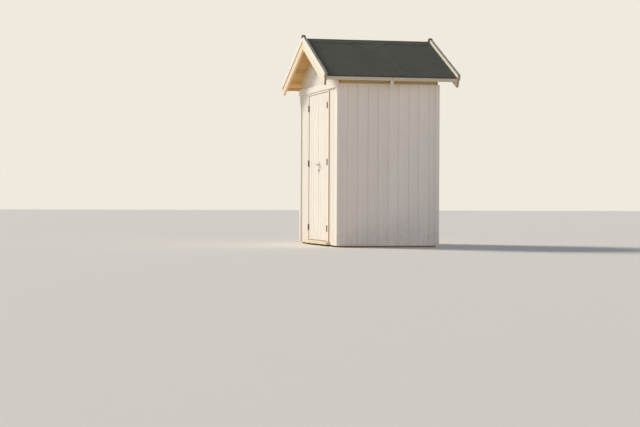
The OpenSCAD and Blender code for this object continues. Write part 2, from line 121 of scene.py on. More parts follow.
class BoardSizes(PropertyGroup):
    """Sizes of the boards and of their joints"""

    wall_cover: length("Wall board cover", "Width that one wall board covers", 0.130, 0.08, 0.2)
    roof_cover: length("Roof board cover", "Width that one roof board covers", 0.1078, 0.07, 0.2)
    floor_cover: length(
        "Floor board cover", "Width that one floor board covers", 0.1192, 0.08, 0.2)
    door_boards: IntProperty(
        name="Boards in a door", description="Number of boards across one door leaf",
        default=4, min=2, max=8)
    groove_half: length(
        "Groove half width", "Half the width of the open joint on the outer face",
        0.0075, 0.002, 0.012)
    groove: length(
        "Groove depth", "Depth of the open joint on the outer face", 0.0078, 0.001, 0.010)
    inner_groove: length(
        "Inner groove", "Depth of the V joint on the inner face", 0.0016, 0.0005, 0.006)
    soffit_groove: length(
        "Soffit groove", "Depth of the V joint under the roof boards", 0.0042, 0.0005, 0.008)
    eased: length(
        "Eased edge", "Radius of the eased edges of trims and timbers", 0.0022, 0.0005, 0.005)


class RoofSizes(PropertyGroup):
    """Sizes of the roof's covering"""

    pitch: FloatProperty(
        name="Pitch", description="Pitch of the roof",
        default=math.atan(SLOPE), subtype="ANGLE")
    felt_t: length(
        "Felt thickness", "Thickness of one layer of roofing felt", 0.003, 0.002, 0.006)
    lap_y: length(
        "Lap", "Distance of the felt's exposed lap from the front verge", 0.997, 0.3, 1.2)
    lap: length("Overlap", "Overlap of the two felt strips", 0.080, 0.05, 0.12)
    buckle: length("Buckles", "Height of the felt's slight buckles", 0.0012, 0.0, 0.003)


class Finishes(PropertyGroup):
    """Colours of the finishes"""

    white: tint("White paint", "painted boards and trims", 239, 234, 224)
    cream: tint("Cream paint", "worn paint on the threshold", 234, 222, 192)
    timber: tint("Bare timber", "unpainted softwood", 205, 160, 104)
    heart: tint("Late wood", "darker rings in the softwood", 160, 108, 60)
    # Unpainted softwood on the casings' side edges and the cover strips' undersides, made darker
    # as painted shade in those narrow steps
    stain: tint("Bare edge", "unpainted edges of casings and strips", 206, 182, 116)
    felt: tint("Roofing felt", "mineral felt", 70, 73, 66)
    iron: tint("Dark ironwork", "hinges and the lock case", 86, 81, 62)
    # The lever's dull olive is partly painted shade, darkened to stand in for its shadow on the
    # door
    steel: tint("Dull steel", "lever", 168, 160, 134)
    plate: tint("Pale steel", "lock plate and its screws", 220, 217, 208)
    # Unpainted softwood under the roof boards and inside the fascias, lifted far above bare timber
    # to carry painted warm light bounced up from below
    soffit: tint("Bounce-lit softwood", "roof boards' underside", 255, 228, 178)
    soffit_heart: tint("Bounce-lit late wood", "rings in the roof boards' underside", 222, 178, 114)
    aged: tint("Weathered softwood", "wall plates under the eaves", 208, 194, 148)
    aged_heart: tint("Weathered late wood", "rings in the wall plates", 184, 170, 126)
    worn: tint("Weathered paint", "greyed paint on the fascias", 212, 202, 180)
    # Yellower paint on the left bargeboards, which also carries painted warm sunlight on that side
    yellow_and_sunlit: tint("Yellow and sunlit paint", "paint on the left bargeboards", 239, 217, 184)
    mellow: tint("Mellow paint", "paint on the right bargeboards", 240, 230, 203)
    grime: tint("Grimy end grain", "ends of the bargeboards", 168, 160, 138)


class StageSizes(PropertyGroup):
    """Light and camera"""

    key: number("Key light", "Strength of the soft sun from the front left", 3.0, 0.0, 10.0)
    sky: number(
        "Sky light", "Strength of the light from the sky, at the horizon", 1.5, 0.0, 3.0)
    overhead: number(
        "Overhead", "Strength of the sky overhead, as a share of the horizon's", 0.15, 0.0, 2.0)
    lens: number(
        "Lens", "Focal length on a 36 mm wide sensor, in millimetres", 97.5, 20.0, 300.0)


def settings():
    """The hut's board and roof sizes in the open scene"""
    scene = bpy.context.scene
    return scene.hut_boards, scene.hut_roof


class Term:
    """A shader socket that Python's arithmetic works on"""

    def __init__(self, nodes, socket):
        self.nodes = nodes
        self.socket = socket

    def math(self, operation, first, second):
        return self.nodes.node("ShaderNodeMath", {"operation": operation}, {0: first, 1: second})

    def __add__(self, other):
        return self.math("ADD", self, other)

    def __radd__(self, other):
        return self.math("ADD", other, self)

    def __sub__(self, other):
        return self.math("SUBTRACT", self, other)

    def __rsub__(self, other):
        return self.math("SUBTRACT", other, self)

    def __mul__(self, other):
        return self.math("MULTIPLY", self, other)

    def __rmul__(self, other):
        return self.math("MULTIPLY", other, self)

    def between(self, low, high):
        """0 where the value is low, 1 where it is high, eased and clamped"""
        return self.nodes.node(
            "ShaderNodeMapRange", {"interpolation_type": "SMOOTHSTEP"},
            {"Value": self, "From Min": low, "From Max": high})


class Nodes:
    """A node tree under construction"""

    def __init__(self, tree):
        self.tree = tree

    def node(self, kind, sets=None, values=None, out=0):
        """Adds a node: its settings first, then the values or links of its sockets"""
        made = self.tree.nodes.new(kind)
        for key, value in (sets or {}).items():
            setattr(made, key, value)
        for key, value in (values or {}).items():
            self.feed(made.inputs[key], value)
        return Term(self, made.outputs[out])

    def feed(self, socket, value):
        """Links a term to a socket, or sets the socket's own value"""
        if isinstance(value, Term):
            self.tree.links.new(value.socket, socket)
        else:
            socket.default_value = value

    def upward(self, vector):
        """The Z part of a vector"""
        return self.node("ShaderNodeSeparateXYZ", None, {0: vector}, "Z")

    def shown(self):
        """1 for the rays that see a thing directly, mirrored or through glass"""
        seen, mirrored, through = (
            self.node("ShaderNodeLightPath", out=f"Is {way} Ray")
            for way in ("Camera", "Glossy", "Transmission"))
        return seen.math("MAXIMUM", seen.math("MAXIMUM", seen, mirrored), through)


class Shade(Nodes):
    """A material under construction, round one Principled shader"""

    def __init__(self, name, constants):
        self.material = bpy.data.materials.new(name)
        self.material.use_nodes = True
        super().__init__(self.material.node_tree)
        self.principled = self.tree.nodes["Principled BSDF"]
        for socket, value in constants.items():
            self.surface(socket, value)

    def surface(self, socket, value):
        """Feeds one socket of the Principled shader"""
        self.feed(self.principled.inputs[socket], value)

    def board(self):
        """A board's own coordinates, along, across and through it, and its tone"""
        return (self.node("ShaderNodeAttribute", {"attribute_name": "grain"}, out="Vector"),
                self.node("ShaderNodeAttribute", {"attribute_name": "tone"}, out="Fac"))

    def place(self):
        return self.node("ShaderNodeTexCoord", out="Object")

    def scaled(self, vector, by):
        return self.node("ShaderNodeVectorMath", {"operation": "MULTIPLY"}, {0: vector, 1: by})

    def noise(self, vector, scale, detail=2.0, rough=0.5):
        return self.node("ShaderNodeTexNoise", None, {
            "Vector": vector, "Scale": scale, "Detail": detail, "Roughness": rough})

    def mix(self, factor, first, second):
        """Mixes two colours"""
        first, second = (value if isinstance(value, Term) else (*value, 1.0)
                         for value in (first, second))
        return self.node("ShaderNodeMix", {"data_type": "RGBA"},
                         {"Factor": factor, 6: first, 7: second}, 2)

    def bump(self, height, distance, strength):
        """Feeds the shader's normal from a height"""
        self.surface("Normal", self.node("ShaderNodeBump", None, {
            "Height": height, "Distance": distance, "Strength": strength}))


def shaded(colour, by):
    """A colour made darker or lighter by a factor"""
    return tuple(channel * by for channel in colour)


def painted_timber(name, colour, wear=0.3, tops=linear(112, 114, 102)):
    """Brushed paint over softwood: faint grain, dust near the ground, darker grey-green level tops
    """
    shade = Shade(name, {"Specular IOR Level": 0.38})
    grain, tone = shade.board()
    fibres = shade.noise(shade.scaled(grain, (5.0, 260.0, 260.0)), 1.0, 3.0, 0.6)
    brush = shade.noise(shade.scaled(grain, (2.2, 90.0, 90.0)), 1.0, 2.0, 0.55)
    clouds = shade.noise(shade.place(), 2.6, 3.0, 0.55)
    base = shade.mix(clouds.between(0.35, 0.72), colour, shaded(colour, 0.955))
    base = shade.mix(tone * 0.7, base, shaded(colour, 0.93))
    base = shade.mix(brush.between(0.55, 0.8) * 0.25, base, shaded(colour, 0.9))
    dust = shade.noise(shade.place(), 16.0, 4.0, 0.6)
    low = 1 - shade.upward(shade.place()).between(0.03, 0.42)
    splash = low * dust.between(0.3, 0.75) * wear
    base = shade.mix(splash, base, linear(196, 178, 146))
    # Faces that look upward turn a darker grey-green, mottled by noise, and rougher
    green = shade.noise(shade.place(), 9.0, 4.0, 0.65)
    normal = shade.node("ShaderNodeNewGeometry", out="Normal")
    upward_grey = shade.upward(normal).between(0.55, 0.88) * (0.72 + 0.26 * green.between(0.3, 0.7))
    shade.surface("Base Color", shade.mix(upward_grey, base, tops))
    shade.surface("Roughness", 0.46 + 0.16 * clouds + 0.2 * splash + 0.2 * upward_grey)
    shade.bump(fibres * 0.55 + brush * 0.45, 0.0004, 0.55)
    return shade.material


def bare_timber(name, colour, heart, aged=0.25, spread=0.45, deep=1.25):
    """Sawn softwood: rings along the board, fibres and a few knots.

    spread is how far the boards' tones part, and deep the late wood's brightness in the
    darkest board.
    """
    shade = Shade(name, {"Specular IOR Level": 0.3})
    grain, tone = shade.board()
    warp = shade.noise(shade.scaled(grain, (0.9, 7.0, 7.0)), 1.0, 2.0, 0.5)
    rings = shade.node("ShaderNodeTexWave", {
        "wave_type": "RINGS", "rings_direction": "X", "wave_profile": "SAW"}, {
        "Vector": shade.scaled(grain, (0.25, 5.2, 5.2)), "Scale": 3.2,
        "Distortion": 2.6, "Detail": 2.0, "Detail Scale": 0.8}, 1)
    fibres = shade.noise(shade.scaled(grain, (7.0, 420.0, 420.0)), 1.0, 3.0, 0.65)
    cells = shade.node("ShaderNodeTexVoronoi", {"feature": "F1"}, {
        "Vector": shade.scaled(grain, (2.4, 9.0, 9.0)), "Scale": 1.0, "Randomness": 0.9})
    knots = 1 - cells.between(0.05, 0.13)
    base = shade.mix(rings.between(0.25, 0.95) * 0.62, colour, heart)
    base = shade.mix(warp.between(0.4, 0.75) * 0.3, base, shaded(heart, 1.15))
    base = shade.mix(tone * spread, base, shaded(heart, deep))
    base = shade.mix(fibres.between(0.45, 0.8) * 0.22, base, shaded(heart, 0.75))
    base = shade.mix(knots * 0.85, base, shaded(heart, 0.32))
    shade.surface("Base Color", shade.mix(aged, base, linear(140, 122, 98)))
    shade.surface("Roughness", 0.62 + 0.18 * fibres)
    shade.bump(fibres * 0.7 + rings * 0.3, 0.0005, 0.6)
    return shade.material


def mineral_felt(name, colour):
    """Bitumen felt with pressed-in slate grit"""
    shade = Shade(name, {"Specular IOR Level": 0.25})
    place = shade.place()
    grit = shade.node("ShaderNodeTexVoronoi", {"feature": "F1"}, {
        "Vector": place, "Scale": 620.0, "Randomness": 1.0}, "Color")
    shine = shade.node("ShaderNodeSeparateColor", None, {0: grit})
    clouds = shade.noise(place, 3.4, 4.0, 0.6)
    streaks = shade.noise(shade.scaled(place, (1.2, 9.0, 1.2)), 1.6, 3.0, 0.6)
    base = shade.mix(clouds.between(0.3, 0.7), shaded(colour, 0.86), shaded(colour, 1.08))
    base = shade.mix(streaks.between(0.5, 0.8) * 0.3, base, shaded(colour, 1.25))
    base = shade.mix(shine.between(0.5, 1.0) * 0.42, base, shaded(colour, 1.75))
    base = shade.mix((1 - shine).between(0.55, 1.0) * 0.4, base, shaded(colour, 0.45))
    shade.surface("Base Color", base)
    shade.surface("Roughness", 0.86 - 0.12 * shine)
    shade.bump(shine * 0.7 + clouds * 0.3, 0.0007, 0.6)
    return shade.material


def worn_metal(name, colour, metallic, rough, rust):
    """Ironwork: blotchy where the sea air has dulled it"""
    shade = Shade(name, {"Metallic": metallic})
    place = shade.place()
    blotch = shade.noise(place, 70.0, 4.0, 0.65)
    fine = shade.noise(place, 420.0, 3.0, 0.6)
    spots = blotch.between(0.5, 0.72) * rust
    base = shade.mix(fine.between(0.3, 0.8) * 0.4, colour, shaded(colour, 0.72))
    shade.surface("Base Color", shade.mix(spots, base, linear(96, 66, 44)))
    shade.surface("Roughness", rough + 0.2 * blotch + 0.15 * spots)
    shade.bump(fine, 0.00015, 0.5)
    return shade.material


class Palette:
    """Every finish of the hut, made once"""

    made = {}

    @classmethod
    def get(cls, name):
        if not cls.made:
            cls.make_all({key: tuple(getattr(bpy.context.scene.hut_finishes, key))
                          for key in Finishes.__annotations__})
        return cls.made[name]

    @classmethod
    def make_all(cls, hue):
        """Makes every finish from the colours of the open scene"""
        for key, title in (("white", "white_paint"), ("worn", "weathered_paint"),
                           ("yellow_and_sunlit", "yellow_and_sunlit_paint"), ("mellow", "mellow_paint"),
                           ("grime", "grimy_ends")):
            cls.made[key] = painted_timber(title, hue[key])
        cls.made.update({
            "cream": painted_timber("cream_paint", hue["cream"], 0.9, linear(214, 200, 170)),
            "timber": bare_timber("bare_softwood", hue["timber"], hue["heart"]),
            "stained": bare_timber("bare_shaded_edge_wood", hue["stain"], shaded(hue["stain"], 0.7), 0.1),
            # Painted bounce light: the undersides' softwood is made much lighter than bare timber
            "bounce_lit": bare_timber("bounce_lit_softwood", hue["soffit"], hue["soffit_heart"],
                                 0.08, 0.9, 1.0),
            "aged": bare_timber("weathered_softwood", hue["aged"], hue["aged_heart"], 0.1),
            "felt": mineral_felt("mineral_felt", hue["felt"]),
            "iron": worn_metal("dark_iron", hue["iron"], 0.1, 0.8, 0.5),
            # The lever's dark colour is partly painted shade
            "steel": worn_metal("dull_steel", hue["steel"], 0.6, 0.4, 0.12),
            "plate": worn_metal("pale_steel", hue["plate"], 0.5, 0.35, 0.12),
            "zinc": worn_metal("zinc_nails", linear(150, 152, 152), 0.8, 0.4, 0.25),
        })


# The record's material slot of each finish
SLOTS = {finish: slot for slot, finishes in {
    "white_timber": ("white", "worn", "yellow_and_sunlit", "mellow", "grime"),
    "cream_timber": ("cream",),
    "bare_timber": ("timber", "stained", "bounce_lit", "aged"),
    "roofing_felt": ("felt",),
    "dark_steel": ("iron",),
    "dull_steel": ("steel", "plate", "zinc"),
}.items() for finish in finishes}


def mesh_of(name, bm):
    """Turns a bmesh into a mesh"""
    mesh = bpy.data.meshes.new(name)
    bm.to_mesh(mesh)
    bm.free()
    return mesh


def put(name, data):
    """Puts an object into the open scene"""
    item = bpy.data.objects.new(name, data)
    bpy.context.scene.collection.objects.link(item)
    return item


def bridge(bm, near, far, closed=True):
    """Faces between two rows of verts, each row closed to a ring unless told otherwise"""
    count = len(near)
    return [bm.faces.new((near[i], near[(i + 1) % count], far[(i + 1) % count], far[i]))
            for i in range(count if closed else count - 1)]


def finish_piece(name, bm, finishes, body, replaced=()):
    """Turns a bmesh into a piece that rides on its body"""
    bmesh.ops.recalc_face_normals(bm, faces=bm.faces)
    mesh = mesh_of(name, bm)
    for finish in finishes:
        mesh.materials.append(Palette.get(finish))
    piece = put(name, mesh)
    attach(piece, body)
    if replaced:
        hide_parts(*replaced)
    return piece


def grain_layers(bm):
    """The layers that hold a board's own coordinates and its tone"""
    vectors = bm.verts.layers.float_vector
    values = bm.verts.layers.float
    return (vectors.get("grain") or vectors.new("grain"),
            values.get("tone") or values.new("tone"))


class BoardLook:
    """The random part of one board: its place in the log and its tone"""

    def __init__(self, draw):
        self.shift = Vector((draw.uniform(0, 9), draw.uniform(-0.16, 0.16),
                             draw.uniform(0.03, 0.2)))
        self.tone = draw.random()


def board_section(u0, u1, thick, outer, inner, open_low=True, open_high=True):
    """Section of a board across its width: d is 0 on the outer face.

    outer is the half width and the depth of the open joint on the outer face, inner the
    chamfer on the inner face.
    """
    shut = (0.0, 0.0, 0.0)
    a, a_deep, b = (*outer, inner) if open_low else shut
    c, c_deep, e = (*outer, inner) if open_high else shut
    points = [(u0, a_deep), (u0 + a * 0.4, a_deep), (u0 + a * 0.9, a_deep * 0.12), (u0 + a, 0.0),
              (u1 - c, 0.0), (u1 - c * 0.9, c_deep * 0.12), (u1 - c * 0.4, c_deep), (u1, c_deep),
              (u1, thick - e), (u1 - e, thick), (u0 + b, thick), (u0, thick - b)]
    section = points[:1]
    for point in points[1:]:
        if max(abs(point[0] - section[-1][0]), abs(point[1] - section[-1][1])) > TOUCH:
            section.append(point)
    return section


def add_board(bm, section, thick, ends, place, look):
    """Sweeps a section between a board's two ends: each is a level, or a function of u and d"""
    grain, tone = grain_layers(bm)
    rings = []
    for end in ends:
        ring = []
        for u, d in section:
            along = end(u, d) if callable(end) else end
            vert = bm.verts.new(place(u, d, along))
            vert[grain] = Vector((along, u, d)) + look.shift
            vert[tone] = look.tone
            ring.append(vert)
        rings.append(ring)
    # The inner face has the piece's second finish
    for face, near, far in zip(bridge(bm, *rings), section, section[1:] + section[:1]):
        face.material_index = 1 if (near[1] + far[1]) / 2 > thick * 0.6 else 0
    bm.faces.new(list(reversed(rings[0])))
    bm.faces.new(rings[1])


def add_boarding(bm, edges, thick, ends, place, draw, outer, inner, kink=None):
    """Boards between the given edges, with V joints; a kink splits the board it falls in"""
    for u0, u1 in zip(edges, edges[1:]):
        look = BoardLook(draw)
        if kink is not None and u0 + TOUCH < kink < u1 - TOUCH:
            parts = [(u0, kink, True, False), (kink, u1, False, True)]
        else:
            parts = [(u0, u1, True, True)]
        for start, end, open_low, open_high in parts:
            section = board_section(start, end, thick, outer, inner, open_low, open_high)
            add_board(bm, section, thick, ends, place, look)


def board_node(node, edges, thick, ends, place, seed, outer, inner, finishes=("white", "timber"),
               kink=None, name=None):
    """A piece of boarding on the hut, in place of a CAD node"""
    bm = bmesh.new()
    add_boarding(bm, edges, thick, ends, place, random.Random(seed), outer, inner, kink)
    finish_piece(name or f"{node}_boards", bm, finishes, "hut", [node])


def joints_between(low, high, cover, origin=0.0):
    """Board edges from low to high, with the joints on a pitch from the origin"""
    first, last = (math.floor((end - origin) / cover) for end in (low, high))
    joints = (origin + k * cover for k in range(first, last + 2))
    return [low, *(joint for joint in joints if low + TOUCH < joint < high - TOUCH), high]


def islands(bm):
    """The separate shells of a bmesh, each as a list of its verts"""
    left = set(bm.verts)
    while left:
        seed = left.pop()
        shell, waiting = [seed], [seed]
        while waiting:
            vert = waiting.pop()
            for edge in vert.link_edges:
                other = edge.other_vert(vert)
                if other in left:
                    left.discard(other)
                    shell.append(other)
                    waiting.append(other)
        yield shell


def lay_grain(bm, draw):
    """Gives every shell its own coordinates, along its longest edge"""
    grain, tone = grain_layers(bm)
    bm.verts.index_update()
    bm.edges.index_update()
    for shell in sorted(islands(bm), key=lambda verts: min(v.index for v in verts)):
        edges = {edge for vert in shell for edge in vert.link_edges}
        longest = max(edges, key=lambda edge: (round(edge.calc_length(), 5), -edge.index))
        along = (longest.verts[1].co - longest.verts[0].co).normalized()
        helper = Vector((0, 1, 0)) if abs(along.y) < 0.9 else Vector((1, 0, 0))
        across = along.cross(helper).normalized()
        deep = along.cross(across)
        look = BoardLook(draw)
        centre = sum((vert.co for vert in shell), Vector()) / len(shell)
        for vert in shell:
            arm = vert.co - centre
            vert[grain] = Vector((arm.dot(along), arm.dot(across), arm.dot(deep))) + look.shift
            vert[tone] = look.tone


def cad_bmesh(node):
    """A clean bmesh of a CAD node, with its flat faces in one piece"""
    bm = bmesh.new()
    bm.from_mesh(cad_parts[node].data)
    for layer in list(bm.loops.layers.uv.values()):
        bm.loops.layers.uv.remove(layer)
    bmesh.ops.remove_doubles(bm, verts=bm.verts, dist=1e-5)
    bmesh.ops.dissolve_limit(bm, angle_limit=math.radians(0.5), verts=bm.verts, edges=bm.edges)
    for face in bm.faces:
        face.material_index = 0
        face.smooth = False
    return bm


def eased_timber(node, ending, finishes, seed, radius=None, pick=None, body="hut"):
    """A CAD node's timbers with eased edges and a grain; pick chooses a face's finish"""
    bm = cad_bmesh(node)
    sharp = [edge for edge in bm.edges if edge.calc_face_angle(0.0) > math.radians(20)]
    bmesh.ops.bevel(bm, geom=sharp, offset=radius or settings()[0].eased, segments=2,
                    profile=0.6, affect="EDGES", clamp_overlap=True)
    bm.normal_update()
    lay_grain(bm, random.Random(seed))
    if pick:
        for face in bm.faces:
            face.material_index = pick(face)
    finish_piece(f"{node}_{ending}", bm, finishes, body, [node])


def add_nail(bm, centre, normal, radius, proud, sides=10):
    """A nail's or screw's head: a low dome on a face"""
    normal = Vector(normal).normalized()
    side = normal.orthogonal().normalized()
    other = normal.cross(side)
    rings = []
    for share, lift in ((1.0, -0.4), (1.0, 0.45), (0.72, 0.9)):
        ring = []
        for i in range(sides):
            turn = math.tau * i / sides
            arm = side * math.cos(turn) + other * math.sin(turn)
            ring.append(bm.verts.new(
                Vector(centre) + arm * radius * share + normal * proud * lift))
        rings.append(ring)
    for low, high in zip(rings, rings[1:]):
        bridge(bm, low, high)
    bm.faces.new(rings[-1])
    bm.faces.new(list(reversed(rings[0])))


def roof_height(u, d):
    """Height of the gable walls at a distance u from the ridge"""
    return REAR_HIGH.z - abs(u) * math.tan(settings()[1].pitch)


class HUT_OT_wall_boards(Operator):
    """Board the walls with upright tongued and grooved boards"""

    bl_idname = "hut.wall_boards"
    bl_label = "Wall boards"

    def execute(self, context):
        boards = settings()[0]
        joint = ((boards.groove_half, boards.groove), boards.inner_groove)
        edges = joints_between(WALL_LOW.y, WALL_HIGH.y, boards.wall_cover)
        for side, node in ((1, "right_wall"), (-1, "left_wall")):
            board_node(node, edges, CLAD_T, (WALL_LOW.z, WALL_HIGH.z),
                       lambda u, d, l: (side * (FACE_X - d), u, l), 11 + side, *joint)
        low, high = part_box("front_wall_right")
        edges = joints_between(low.x, high.x, boards.wall_cover)
        for side, node in ((1, "front_wall_right"), (-1, "front_wall_left")):
            board_node(node, edges, CLAD_T, (low.z, high.z),
                       lambda u, d, l: (side * u, low.y + d, l), 21 + side, *joint)
        edges = joints_between(GABLE_LOW.x, GABLE_HIGH.x, boards.wall_cover)
        for node, foot, face, turn in (("front_gable", GABLE_LOW.z, GABLE_LOW.y, 1),
                                       ("rear_wall", REAR_LOW.z, REAR_HIGH.y, -1)):
            board_node(node, edges, CLAD_T, (foot, roof_height),
                       lambda u, d, l: (u, face + turn * d, l), 31 + turn, *joint, kink=0.0)
        return {"FINISHED"}


class HUT_OT_doors(Operator):
    """Make the two boarded leaves with their ledges and braces"""

    bl_idname = "hut.doors"
    bl_label = "Doors"

    # Width and depth of the open joints between door boards, as shares of the walls'
    narrower, shallower = 0.8, 0.7
    # Length of the rods that cut the lock's holes; the slot's is a little shorter
    rod, slot_rod = 0.08, 0.079

    def execute(self, context):
        boards = settings()[0]
        thick = DOOR_HIGH.y - DOOR_LOW.y
        width = (DOOR_HIGH.x - DOOR_LOW.x) / boards.door_boards
        edges = [DOOR_LOW.x + i * width for i in range(boards.door_boards + 1)]
        joint = ((boards.groove_half * self.narrower, boards.groove * self.shallower),
                 boards.inner_groove)
        for side, node, body in DOORS:
            draw = random.Random(41 + side)

            def place(u, d, l):
                return (side * u, DOOR_LOW.y + d, l)

            bm = bmesh.new()
            locked = 1 if side == 1 else 0
            if locked:
                self.add_lock_board(bm, board_section(*edges[:2], thick, *joint), thick, place,
                                    BoardLook(draw))
            add_boarding(bm, edges[locked:], thick, (DOOR_LOW.z, DOOR_HIGH.z), place, draw, *joint)
            finish_piece(f"{node}_boards", bm, ("white", "white"), body, [node])
            eased_timber(f"{node}_ledges", "eased", ("white",), 51 + side, body=body)
        return {"FINISHED"}

    def add_lock_board(self, bm, section, thick, place, look):
        """Adds the board that the lever's neck and the key go through"""
        board = bmesh.new()
        add_board(board, section, thick, (DOOR_LOW.z, DOOR_HIGH.z), place, look)
        bmesh.ops.recalc_face_normals(board, faces=board.faces)
        solid = put("lock_board", mesh_of("lock_board", board))
        cutter = put("lock_cutter", mesh_of("lock_cutter", self.lock_cutter()))
        modifier = solid.modifiers.new("holes", "BOOLEAN")
        modifier.operation = "DIFFERENCE"
        modifier.solver = "EXACT"
        modifier.use_self = True
        modifier.object = cutter
        graph = bpy.context.evaluated_depsgraph_get()
        cut = bpy.data.meshes.new_from_object(solid.evaluated_get(graph))
        bm.from_mesh(cut)
        grain, tone = grain_layers(bm)
        for vert in bm.verts:
            x, y, z = vert.co
            vert[grain] = Vector((z, x, y - DOOR_LOW.y)) + look.shift
            vert[tone] = look.tone
        for spare in (solid, cutter):
            bpy.data.objects.remove(spare)
        bpy.data.meshes.remove(cut)

    def lock_cutter(self):
        """The neck's hole and the keyhole, as rods across the leaf"""
        slot_w, slot_l = KEY_SLOT
        bm = bmesh.new()
        across = Matrix.Rotation(math.pi / 2, 4, "X")
        for z, radius in ((LEVER_Z, NECK_HOLE_R), (KEY_Z, KEY_R)):
            bmesh.ops.create_cone(
                bm, cap_ends=True, segments=32, radius1=radius, radius2=radius, depth=self.rod,
                matrix=Matrix.Translation((LOCK_X, DOOR_LOW.y, z)) @ across)
        bmesh.ops.create_cube(
            bm, size=1.0, matrix=Matrix.Translation((LOCK_X, DOOR_LOW.y, KEY_Z - slot_l / 2))
            @ Matrix.Diagonal((slot_w, self.slot_rod, slot_l, 1.0)))
        return bm


class HUT_OT_roof_boards(Operator):
    """Lay the roof boards along the ridge"""

    bl_idname = "hut.roof_boards"
    bl_label = "Roof boards"

    def execute(self, context):
        boards, roof = settings()
        sine, cosine = math.sin(roof.pitch), math.cos(roof.pitch)
        tangent = sine / cosine
        thick = (DECK_HIGH.z - DECK_LOW.z - DECK_HIGH.x * tangent) * cosine
        edges = joints_between(0.0, DECK_HIGH.x / cosine, boards.roof_cover)
        for side, node in ((1, "right_roof_deck"), (-1, "left_roof_deck")):
            def place(u, d, l):
                s = u + d * tangent
                return (side * (s * cosine - d * sine), l, DECK_HIGH.z - s * sine - d * cosine)

            board_node(node, edges, thick, (DECK_LOW.y, DECK_HIGH.y), place, 61 + side,
                       (boards.inner_groove, boards.inner_groove), boards.soffit_groove,
                       ("timber", "bounce_lit"))
        return {"FINISHED"}


class HUT_OT_felt(Operator):
    """Roll out the felt: two strips on each slope with a nailed lap, and the ridge strip"""

    bl_idname = "hut.felt"
    bl_label = "Roofing felt"

    # Faces down a slope and along the ridge
    steps, rows = 44, 30
    # Length of the bend at the eaves, and how far the turned-down lip hangs below the solid's
    bend, hang = 0.006, 0.003
    # Length over which the felt climbs on to the lap, and its lift there in thicknesses
    climb, over = 0.035, 1.05
    # Eased edge of the ridge strip
    strip_edge = 0.0012

    def execute(self, context):
        roof = settings()[1]
        sine, cosine = math.sin(roof.pitch), math.cos(roof.pitch)
        edge_x = FELT_HIGH.x
        ridge_z = FELT_HIGH.z - roof.felt_t / cosine
        lip = ridge_z - edge_x * sine / cosine - FELT_LOW.z
        lap_end = FELT_LOW.y + roof.lap_y
        lap_start = lap_end - roof.lap

        # Places down the slope and over the eaves: x, z and the way out of the felt there
        slope_end = edge_x / cosine - self.bend
        path = []
        for i in range(self.steps + 1):
            s = slope_end * i / self.steps
            path.append((s * cosine, ridge_z - s * sine, sine, cosine))
        corner_z = ridge_z - slope_end * sine
        path.append((edge_x - roof.felt_t, corner_z - self.bend * sine, 0.8, 0.6))
        path.append((edge_x - roof.felt_t, corner_z - lip - self.hang, 1.0, 0.0))

        def over_lap(y):
            start = lap_start - self.climb
            share = min(1.0, max(0.0, (y - start) / self.climb))
            return roof.felt_t * self.over * share * share * (3 - 2 * share)

        for side, node in ((1, "right_felt"), (-1, "left_felt")):
            bm = bmesh.new()
            self.add_strip(bm, path, FELT_LOW.y, lap_end, over_lap, side, 0.6 + side)
            self.add_strip(bm, path, lap_start, FELT_HIGH.y, lambda y: 0.0, side, 2.1 + side)
            piece = finish_piece(f"{node}_strips", bm, ("felt",), "hut", [node])
            for polygon in piece.data.polygons:
                polygon.use_smooth = True
            piece.data.set_sharp_from_angle(angle=math.radians(35))
        eased_timber("ridge_felt", "strip", ("felt",), 71, self.strip_edge)
        return {"FINISHED"}

    def add_strip(self, bm, path, y0, y1, rise, side, phase):
        """Adds a strip from y0 to y1, lifted by rise(y), with shallow buckles on top"""
        roof = settings()[1]
        columns = len(path) - 1
        rows = []
        for j in range(self.rows + 1):
            y = y0 + (y1 - y0) * j / self.rows
            lift = rise(y)
            tops, lows = [], []
            for k, (x, z, nx, nz) in enumerate(path):
                fade = min(1.0, (columns - k) / 6) * min(1.0, k / 3)
                wave = math.sin(7.3 * y + 8.7 * x + phase) * math.sin(10.2 * x + phase * 1.7)
                lows.append(bm.verts.new((side * (x + nx * lift), y, z + nz * lift)))
                up = lift + roof.felt_t + max(0.0, wave) * roof.buckle * fade
                reach = min(x + nx * up, FELT_HIGH.x)
                tops.append(bm.verts.new((side * reach, y, z + nz * up)))
            rows.append((tops, lows[::-1]))
        for (tops, lows), (next_tops, next_lows) in zip(rows, rows[1:]):
            bridge(bm, tops + lows, next_tops + next_lows)
        for tops, lows in (rows[0], rows[-1]):
            bridge(bm, tops, lows[::-1], closed=False)


class HUT_OT_roof_trims(Operator):
    """Ease and paint the bargeboards, cover strips and fascias"""

    bl_idname = "hut.roof_trims"
    bl_label = "Roof trims"

    def execute(self, context):
        def lower_end(face):
            outward = math.copysign(1, face.calc_center_median().x) * face.normal.x
            return 1 if outward > 0.8 else 0

        for row, end in enumerate(("front", "rear")):
            # The left bargeboards' paint carries painted warm sunlight
            for step, (side, paint) in enumerate((("left", "yellow_and_sunlit"), ("right", "mellow"))):
                eased_timber(f"{end}_{side}_barge", "board", (paint, "grime"),
                             81 + 2 * row + step, pick=lower_end)
        # The cover strips' undersides take the bare edge colour, which is also painted shade under
        # the strips, and their lower ends the grimy end grain
        eased_timber("barge_cover_strips", "eased", ("white", "grime", "stained"), 91,
                     pick=lambda face: 2 if face.normal.z < -0.6 else lower_end(face))
        for step, (side, node) in enumerate(((-1, "left_fascia"), (1, "right_fascia"))):
            eased_timber(node, "boards", ("worn", "bounce_lit"), 95 + step,
                         pick=lambda face: 1 if face.normal.x * side < -0.7 else 0)
        return {"FINISHED"}


